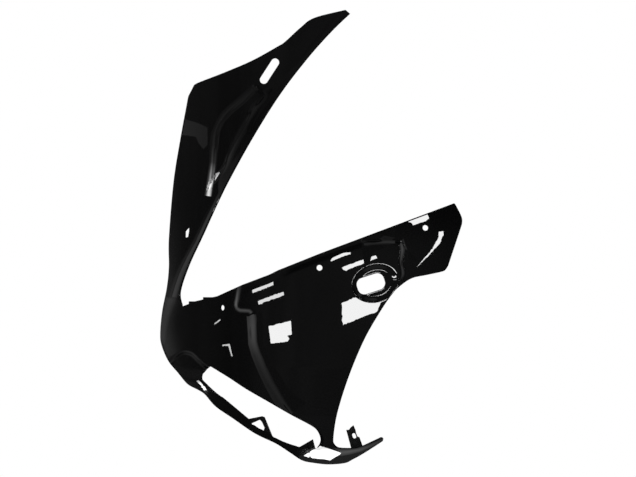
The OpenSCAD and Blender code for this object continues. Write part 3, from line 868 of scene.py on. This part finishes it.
def beside(line, shifts):
    """Rows of pixels beside a line of (px, py, level), for each distance to its right and share."""
    line = np.array(line, float)
    along = np.gradient(line[:, :2], axis=0)
    along /= np.linalg.norm(along, axis=1)[:, None]
    side = np.stack([-along[:, 1], along[:, 0]], axis=1)
    return [np.column_stack([line[:, :2] + side * d, DIM + share * line[:, 2]]) for d, share in shifts]


# brightness of the room's windows, and of the narrower lights low beside the nose
WINDOW, WINDOW_FRONT, WINDOW_LOW = 22, 18, 12

window("front_strip_upper", [(252.2, 290), (273.2, 281.7), (273.5, 285), (252.6, 293.3)], WINDOW_FRONT)
window("front_strip_lower", [(258, 301), (283.5, 291.8), (284.2, 295.4), (258.6, 304.5)],
       WINDOW_FRONT)
window("front_window", [(268.6, 326.4), (290.8, 320.9), (291.8, 334.5), (287, 335.5), (289.5, 338.5),
                        (287.5, 341.6), (270.8, 343.4)], WINDOW)
window("rear_strip_upper", [(330.4, 261), (332.5, 257.8), (343.4, 252.9), (350.4, 252.1),
                            (350.4, 254), (343.4, 255.6), (331.4, 261)], WINDOW)
window("rear_strip_lower", [(341.7, 267.5), (375.9, 255), (377.2, 258.3), (346.1, 270.8),
                            (343.4, 269.7)], WINDOW)
window("rear_window", [(341.7, 303.3), (384, 285), (384, 294.5), (377, 311.5), (342.5, 325)],
       WINDOW, panel)
window("tail_patch", [(407.3, 221.4), (427.6, 214.6), (429, 218.5), (426, 221), (413, 225.2),
                      (411, 222.6)], WINDOW)
window("tail_streak", [(416.5, 267.5), (424.7, 257.8), (433.3, 247.5), (438.2, 237.7), (438.8, 231.7),
                       (443.6, 231.2), (443.6, 234.4), (439.9, 243.1), (430.1, 254)], WINDOW)
window("seven", [(222.1, 344.8), (229.7, 343.7), (232.6, 356.2), (231.3, 356.2), (228.3, 345.9),
                 (222.9, 346.2)], WINDOW_LOW)
window("dash", [(214, 323.6), (220, 319.3), (220.7, 320.4), (215.1, 324)], WINDOW_LOW)
window("horn_patch", [(184.5, 119.5), (207.5, 127.5), (207.5, 145), (203, 149), (198.5, 143), (196, 137),
                      (182.5, 135)], 0.2)

glow_patch("nose_glow", beside(
    [(169, 298, 1.1), (167, 308, 0.9), (166, 318, 0.8), (166.5, 328, 0.8), (168, 338, 0.95), (169.5, 348, 1),
     (173, 355, 0.9)],
    [(5, 1), (2, 1), (-2, 0.9), (-6, 0.7), (-11, 0.4), (-16, 0.3)]), 0.13, 30)
glow_patch("wing_glow", [[(304, 455.6, 1), (310, 451.5, 1), (315, 448.7, 1), (321, 446.4, 1), (328, 448.3, 1),
                          (335, 450.6, 1), (341, 453, 1)],
                         [(304, 455.8, 1), (311, 455, 1), (317, 453.5, 1), (322, 453, 1), (328, 453.8, 1),
                          (335, 454, 1), (340.5, 453.8, 1)],
                         [(304, 456, 1), (312, 458, 1), (318, 458.8, 1), (324, 459.2, 1), (330, 460.4, 1),
                          (335, 457.3, 1), (340, 454.5, 1)]], 20, 8)
glow_patch("wing_sheen", [
    [(333, 448, 0.3), (345, 448.5, 0.3), (355, 447.5, 0.3), (370, 444, 0.35), (382, 439, 0.3)],
    [(341, 452.5, 1), (350, 451.5, 1), (360, 449.5, 0.9), (372, 445, 0.5), (382, 440, 0.3)],
    [(341, 456, 0.5), (350, 454.5, 0.4), (360, 452, 0.3), (372, 447, 0.2), (382, 442, 0.1)]], 1.3, 8)
glow_patch("horn_mark", [[(186.0, 231.5, 1), (187.3, 229.6, 1), (189.2, 228, 1)],
                         [(185.9, 234.5, 1), (187.3, 233, 1), (189.0, 231.5, 1)],
                         [(185.9, 237.5, 1), (187, 237.2, 1), (188.0, 236.8, 1)]], 12, 8)
glow_patch("lip_streak", [[(196.5, 381, 0.3), (200, 384.5, 1), (203, 388.5, 1), (206.5, 392.5, 0.3)],
                          [(198.5, 380, 0.3), (202, 383, 1), (205, 387, 1), (208, 391.5, 0.3)]], 14, 20)
glow_patch("front_step_top", beside(
    [(239.8, 285, 0.3), (238.6, 292, 0.8), (237.4, 299, 1), (235.8, 305, 0.9), (236.6, 308.6, 0.6),
     (240, 310.4, 0.9), (245, 310.6, 1), (249.5, 311, 0.9), (251.5, 313, 0.8)],
    [(3.5, 0), (2.4, 0), (1.2, 0.6), (0, 1), (-1.2, 0.6), (-2.4, 0), (-3.5, 0)]), 0.85, 2.5)
edge_light("front_step", [(252, 315.5, 0.8), (252.5, 325, 1.0), (252.8, 333, 1.0), (253.5, 343, 0.8),
                          (257, 354, 0.5), (263, 368, 0.35), (270.5, 383, 0.3), (280, 399, 0.3),
                          (290.5, 415, 0.4)], 0.9, 13)
edge_light("rear_step_top", [(361.5, 239.5, 0.6), (364, 243.5, 0.7), (372, 243.2, 0.45), (384, 242.4, 0.4),
                             (395, 242, 0.4)], 0.7, 6, 6)
edge_light("rear_step", [(400, 244, 0.7), (402, 250, 0.9), (401.5, 258, 0.6), (402, 265, 0.5), (403, 273, 0.5),
                         (402, 280, 0.3)], 0.7, 6, 6)
edge_light("horn_band", [(269, 86, 0.2), (255, 108, 0.25), (243, 131, 0.25), (229, 158, 0.4), (220, 193, 0.45),
                         (208, 218, 0.45), (196.8, 242, 0.4), (186, 262, 0.38), (177.5, 282, 0.35),
                         (172.8, 297, 0.35)], 0.5, 15)
pocket_rim = curve([(205, 195.5), (207.3, 180), (209.5, 162), (210.5, 145), (212.5, 131),
                    (221.5, 113.5), (239.5, 97), (252.5, 86)], 3)
pocket_light = np.interp(np.arange(len(pocket_rim)),
                         [0, 4, 6, 9, 12, 21], [9, 5, 0.7, 0.15, 0.12, 0.05])
glow_patch("pocket_front", beside(
    np.column_stack([pocket_rim, pocket_light]),
    [(-0.5, 0), (1, 0.1), (2.6, 0.8), (3.5, 1), (4.4, 0.8), (6.5, 0), (7.5, 0)]), 1.6, 4, 2)

bpy.context.scene.view_settings.view_transform = "Standard"
